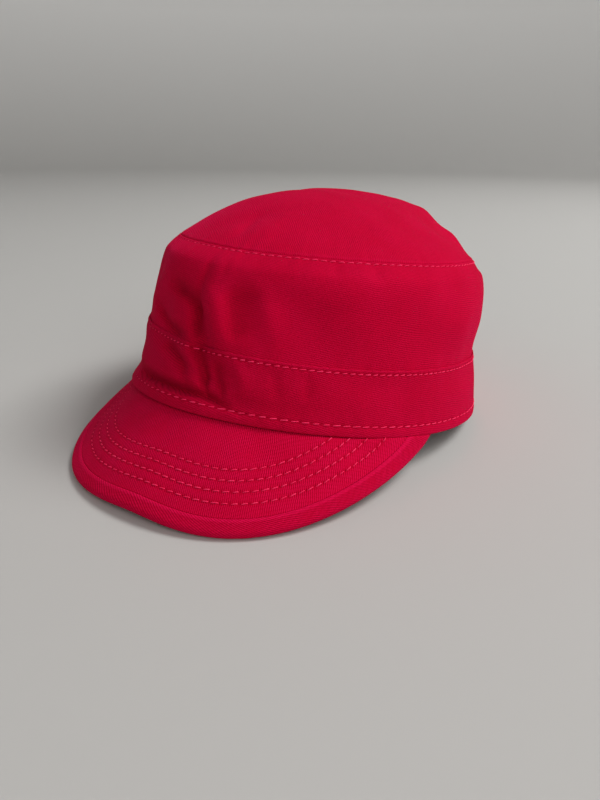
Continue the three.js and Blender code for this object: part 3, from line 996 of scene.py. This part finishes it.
def crown_top():
    angle = RING_ANGLES
    rim_height = WALL_TOP + GAP
    deep = ALLOWANCE_DEPTH - ALLOWANCE_CLOTH
    end_height = ALLOWANCE_BOTTOM + ALLOWANCE_CLOTH / 2
    outer_shares = 1 - np.concatenate([np.linspace(0.985, 0.16, 30), np.linspace(0.145, 0.018, 16)])
    outer = dome_point(angle, outer_shares[:, None], 0)
    shelf = crown_point(angle, rim_height - 0.35, -0.75)
    rim = crown_point(angle, rim_height - 0.1, 0.1)
    turned = np.array([rim_height - 0.2, 69, 68, 66.5, 65, end_height])[:, None]
    allowance = crown_point(angle, turned, ALLOWANCE_DEPTH)
    inner = dome_point(angle, np.linspace(0.975, 0.02, 22)[:, None], TOP_CLOTH)
    inside = crown_point(angle, turned[::-1][:-1], deep)
    low, low_depth = roll(
        end_height, ALLOWANCE_DEPTH - ALLOWANCE_CLOTH / 2, ALLOWANCE_CLOTH / 2, 345, 195, 5
    )
    bottom = crown_point(angle, low[:, None], low_depth[:, None])
    rows = [outer, corner(outer[-1:], rim, shelf, CORNER_ROWS), shelf, allowance, bottom, inside]
    rows += [corner(inside[-1:], crown_point(angle, WALL_TOP, deep), inner[:1], 4), inner]
    points = np.concatenate(rows)
    edge = len(outer)
    to_seam = np.full(points.shape[:2], -1.0)
    to_seam[:edge] = ((1 - outer_shares) * SEAM["side"])[:, None]
    to_seam[edge : edge + CORNER_ROWS] = 0
    # The edge by the seam is lighter: wear, with painted highlight on the ridge.
    marks = {"wear_and_highlight": 0.3 * bell(to_seam / 0.9) * (to_seam >= 0), "shade": np.zeros(points.shape[:2])}
    # Seen from above the grain is straight. Past the edge it goes on outwards.
    closed = np.concatenate([points, points[:, :1]], axis=1)
    grain = closed[..., :2].copy()
    walked = run_length(closed, 0)
    outward = np.stack([np.sin(CLOSED_ANGLES), -np.cos(CLOSED_ANGLES)], axis=-1)
    grain[edge:] += outward * (walked - walked[edge, 0])[edge:, :, None]
    made = cloth_object("crown_top_cloth", points, grain, marks, wrap_columns=True)
    finish_piece(made, "top_twill", "crown_top")


def rim_places(plan):
    """For points seen from above: the rim's angle beside each, and how far inside the rim it lies."""
    angles = np.linspace(-np.pi / 2, np.pi / 2, RIM_SAMPLES)
    rim = rim_plan(angles, 0)
    tree = KDTree(len(rim))
    for index, (x, y) in enumerate(rim):
        tree.insert((x, y, 0), index)
    tree.balance()
    found = [tree.find((x, y, 0)) for x, y in plan.reshape(-1, 2)]
    near = angles[[index for _, index, _ in found]].reshape(plan.shape[:-1])
    inset = np.array([distance for _, _, distance in found]).reshape(plan.shape[:-1])
    return near, inset


def visor_relief(plan):
    near, inset = rim_places(plan)
    pull = 0
    # Painted shade at the needle holes of the rows.
    holes = 0
    for row in VISOR_STITCHES:
        there = smooth_step(row.end + 0.01, row.end - 0.01, np.abs(near))
        pull = pull + pulled_in(row, near, inset - row.inset) * there
        holes = holes + needle_hole_shade(row, near, inset - row.inset) * there
    points = np.concatenate([plan, np.zeros(plan.shape[:-1] + (1,))], axis=-1)
    slack = 0.22 * waves(points, 22, seed=11) + 0.07 * waves(points, 6, seed=12)
    # The edge on the wearer's right sags.
    slack = slack - 1.6 * bell((plan[..., 0] + 56) / 15) * bell((plan[..., 1] + 86) / 15)
    slack = slack * smooth_step(BINDING_WIDTH, BINDING_WIDTH + 5, inset)
    return 0.75 * pull + slack, holes


VISOR_SHARES = np.linspace(-VISOR_END, VISOR_END, VISOR_COLUMNS + 1)


def cover_plan(count):
    """The covers seen from above, from the hem to where they go under the binding, and the hem's angles."""
    inset = BINDING_WIDTH + 0.1
    end = end_angle(inset, -COVER_TUCK)
    edge = rim_plan(end * VISOR_SHARES, inset)
    end_x = rim_plan(end, inset)[0]
    angle = np.arcsin((end_x / (HEM["side"] + BAND_PROUD)) ** (OVAL_POWER / 2)) * VISOR_SHARES
    height = HEM["height"]
    reach = BAND_PROUD + folds_at(FOLDS, angle, height)
    hem = (smooth_crown(angle, height) + crown_normal(angle, height) * reach[:, None])[:, :2]
    share = np.linspace(0, 1, count)[:, None, None]
    return hem * (1 - share) + edge * share, angle


def visor_cover(name, skin, back, first, holes):
    """One cover from the rows of its skin and its back. Its stitched part starts at the first row given."""
    skin, back = (pressed(np.concatenate(rows)) for rows in (skin, back))
    points = np.concatenate([skin, back[::-1]])
    grain = points[..., :2].copy()
    grain[..., 1] *= np.sqrt(1 + VISOR_FALL**2)
    grain = np.concatenate([grain, grain[:1]])
    # Painted shade at the needle holes, from the first row given.
    shade = np.zeros(points.shape[:2])
    shade[first : first + len(holes)] = holes
    marks = {"wear_and_highlight": np.zeros(points.shape[:2]), "shade": shade}
    made = cloth_object(name, points, grain, marks, wrap_rows=True)
    finish_piece(made, "visor_twill", "visor")


def visor_covers():
    half = VISOR_THICKNESS / 2
    # The tongue is the edge of each cover that lies inside the binding.
    tongue = []
    for inset in np.linspace(BINDING_WIDTH, BINDING_CLOTH + 2 * GAP + GAP, 5):
        tongue.append(rim_plan(end_angle(inset, -COVER_TUCK) * VISOR_SHARES, inset))
    tongue = np.stack(tongue)
    tongue_under = BINDING_CLOTH + 2 * GAP - BINDING_PROUD
    # The upper cover: down inside the band, out over the visor and under the binding, then back beneath.
    plan, angle = cover_plan(96)
    relief, holes = visor_relief(plan)
    heights = np.array([VISOR_FLANGE, 6.5, 5, 3.5, 2, 0.8, 0.1])[:, None]
    flange, flange_in = (crown_point(angle, heights, depth) for depth in (-GAP, -GAP - ALLOWANCE_CLOTH))
    skin = [flange, visor_point(plan, -relief), visor_point(tongue, tongue_under)]
    back = [flange_in, visor_point(plan, half - 0.1), visor_point(tongue, half - 0.1)]
    visor_cover("visor_cover_upper", skin, back, len(flange), holes)
    # The lower cover lies against the upper one and ends under the binding too.
    plan, _ = cover_plan(60)
    relief, holes = visor_relief(plan)
    low = VISOR_THICKNESS + 0.6 * relief
    skin = [visor_point(plan, low), visor_point(tongue, VISOR_THICKNESS - tongue_under)]
    back = [visor_point(plan, half + 0.1), visor_point(tongue, half + 0.1)]
    visor_cover("visor_cover_lower", skin, back, 0, holes)


def visor_binding():
    middle = VISOR_THICKNESS / 2
    flatness = np.cos(np.arctan(VISOR_FALL))
    outer_radius = middle + BINDING_PROUD
    inner_radius = outer_radius - BINDING_CLOTH
    bend_inset = outer_radius * flatness
    turns = np.radians(np.linspace(-90, 90, 15))
    leg_end = BINDING_WIDTH - 0.4
    leg = np.linspace(leg_end, bend_inset, 8)[:-1]
    shares = np.linspace(-1, 1, BINDING_COLUMNS + 1)
    proud = 1 - 0.8 * smooth_step(0.97, 1, np.abs(shares))

    def line(inset, under):
        return visor_point(rim_plan(end_angle(inset, -BINDING_TUCK) * shares, inset), under)

    def skin(radius):
        rows = [line(inset, middle - radius * proud) for inset in leg]
        rows += [
            line(bend_inset - radius * flatness * np.cos(turn), middle + radius * proud * np.sin(turn))
            for turn in turns
        ]
        rows += [line(inset, middle + radius * proud) for inset in leg[::-1]]
        return np.stack(rows)

    outer = skin(outer_radius)
    inner = skin(inner_radius)
    half = BINDING_CLOTH / 2

    def folded(sign):
        """The folded edge of a leg, as half a round between the two skins."""
        rows = []
        for turn in np.radians([60, 20, -20, -60]):
            depth = middle + sign * (outer_radius - half + half * np.sin(turn)) * proud
            rows.append(line(leg_end + 0.45 * np.cos(turn), depth))
        return np.stack(rows)

    upper = folded(-1)
    lower = folded(1)
    skin_out = np.concatenate([upper[:2][::-1], outer, lower[:2]])
    skin_in = np.concatenate([upper[2:], inner, lower[2:][::-1]])
    points = pressed(np.concatenate([skin_out, skin_in[::-1]]))
    along = run_length(outer[len(leg)], 0)
    across = run_length(points[:, BINDING_COLUMNS // 2], 0)
    across = np.append(across, across[-1] + 0.5)
    grain = np.stack(np.broadcast_arrays(along[None, :], across[:, None]), axis=-1)
    # The folded edge is lighter, wear with painted highlight on its ridge, and the bend is worn.
    wear_and_highlight = np.zeros(points.shape[:2])
    wear_and_highlight[:4] = 0.8
    wear_and_highlight[len(leg) + 4 : len(leg) + 14] = 0.25
    marks = {"wear_and_highlight": wear_and_highlight, "shade": np.zeros(points.shape[:2])}
    made = cloth_object("visor_binding_cloth", points, grain, marks, wrap_rows=True)
    finish_piece(made, "binding_twill", "visor_binding")


def stitches():
    def ring_place(height, skin):
        def place(angle):
            normals = crown_normal(angle, height)
            off_pull = signed_degrees(np.degrees(angle)) - PULL_ANGLE
            deeper = RING_PULL * bell(off_pull / PULL_WIDTH)
            return skin(angle, height) - normals * deeper[..., None], normals

        return place

    def wall_outer(angle, height):
        return crown_point(angle, height, wall_relief(angle, height))

    stitch_object("hem_stitches", HEM_STITCHES, ring_place(HEM_ROW, band_outer), "band_twill", 21)
    stitch_object("band_stitches", BAND_STITCHES, ring_place(BAND_ROW, band_outer), "band_twill", 22)
    stitch_object("top_stitches", TOP_STITCHES, ring_place(TOP_ROW, wall_outer), "wall_twill", 23)
    for number, row in enumerate(VISOR_STITCHES):
        for side, name in enumerate(("upper", "lower")):
            facing = 1 - 2 * side

            def place(angle, row=row, facing=facing):
                plan = rim_plan(angle, row.inset)
                relief, _ = visor_relief(plan)
                under = -relief if facing == 1 else VISOR_THICKNESS + 0.6 * relief
                deeper = RIM_PULL * smooth_step(-0.1, -0.9, angle) * facing
                return visor_point(plan, under + deeper), visor_normal(plan) * facing

            seed = 30 + 2 * number + side
            stitch_object(f"visor_stitches_{name}_{number + 1}", row, place, "visor_twill", seed)


# ---- The floor, the light and the camera ----


def floor_material():
    """A plain pale surface, palest up the backdrop."""
    nodes = Nodes("floor")
    height = nodes.add("ShaderNodeSeparateXYZ", {0: nodes.place}).outputs[2]
    colour = nodes.mix(nodes.spread(height, 0.0, 0.8), (0.52, 0.51, 0.49, 1.0), (0.85, 0.84, 0.82, 1.0))
    return nodes.finish({"Base Color": colour, "Roughness": 0.8})


def studio():
    """A pale floor that curves up into a round backdrop, two large soft lights and a pale surround."""
    flat, bend, rise, sides = 2.6, 1.3, 4.0, 96
    profile = [(radius, 0.0) for radius in (0.5, 1.0, 1.7)]
    profile += [
        (flat + bend * np.sin(turn), bend * (1 - np.cos(turn))) for turn in np.linspace(0, np.pi / 2, 14)
    ]
    profile.append((flat + bend, rise))
    turns = np.arange(sides) * TURN / sides
    vertices = [(0.0, 0.0, 0.0)]
    vertices += [(radius * np.sin(turn), radius * np.cos(turn), z) for radius, z in profile for turn in turns]
    faces = [(0, 1 + turn, 1 + (turn + 1) % sides) for turn in range(sides)]
    for ring in range(len(profile) - 1):
        for turn in range(sides):
            first, second = 1 + ring * sides + turn, 1 + ring * sides + (turn + 1) % sides
            faces.append((first, first + sides, second + sides, second))
    mesh = bpy.data.meshes.new("floor")
    mesh.from_pydata(vertices, [], faces)
    mesh.shade_smooth()
    mesh.materials.append(floor_material())
    linked("floor", mesh)
    area_light("key", azimuth=132, elevation=52, distance=3.0, size=1.2, power=62)
    area_light("fill", azimuth=62, elevation=40, distance=3.5, size=2.4, power=40)
    world = bpy.data.worlds.new("surround")
    bpy.context.scene.world = world
    world.use_nodes = True
    background = world.node_tree.nodes["Background"]
    background.inputs["Color"].default_value = (0.93, 0.95, 1.0, 1.0)
    background.inputs["Strength"].default_value = 0.1


def area_light(name, azimuth, elevation, distance, size, power):
    """A square light aimed at the cap. Azimuth 0 is in front of the visor and 90 on the wearer's left."""
    turn, rise = np.radians(azimuth), np.radians(elevation)
    towards = Vector((np.sin(turn) * np.cos(rise), -np.cos(turn) * np.cos(rise), np.sin(rise)))
    data = bpy.data.lights.new(name, "AREA")
    data.size = size
    data.energy = power
    light = linked(name, data)
    light.location = towards * distance
    light.rotation_euler = towards.to_track_quat("Z", "Y").to_euler()


CAMERA_AZIMUTH = np.radians(29.73)
CAMERA_DISTANCE = 304.62
CAMERA_HEIGHT = 132.92
CAMERA_YAW = np.radians(1.1)
CAMERA_PITCH = np.radians(23.86)
CAMERA_ROLL = np.radians(0.84)
CAMERA_LENS = 26.55


def camera():
    heading = CAMERA_AZIMUTH + CAMERA_YAW
    flat_ahead = np.cos(CAMERA_PITCH)
    ahead = Vector((-np.sin(heading) * flat_ahead, np.cos(heading) * flat_ahead, -np.sin(CAMERA_PITCH)))
    right = Vector((np.cos(heading), np.sin(heading), 0))
    up = right.cross(ahead)
    level = Matrix((right, up, -ahead)).transposed()
    data = bpy.data.cameras.new("camera")
    data.lens = CAMERA_LENS
    data.clip_start = 0.01
    made = linked("camera", data)
    place = np.array(
        [
            CAMERA_DISTANCE * np.sin(CAMERA_AZIMUTH) + SHIFT[0],
            -CAMERA_DISTANCE * np.cos(CAMERA_AZIMUTH) + SHIFT[1],
            CAMERA_HEIGHT,
        ]
    )
    turned = (level @ Matrix.Rotation(CAMERA_ROLL, 3, "Z")).to_4x4()
    made.matrix_world = Matrix.Translation(place * TO_METRES) @ turned
    bpy.context.scene.camera = made


camera()
side_wall()
band()
crown_top()
visor_covers()
visor_binding()
stitches()
studio()
bpy.context.scene.view_settings.view_transform = "Standard"
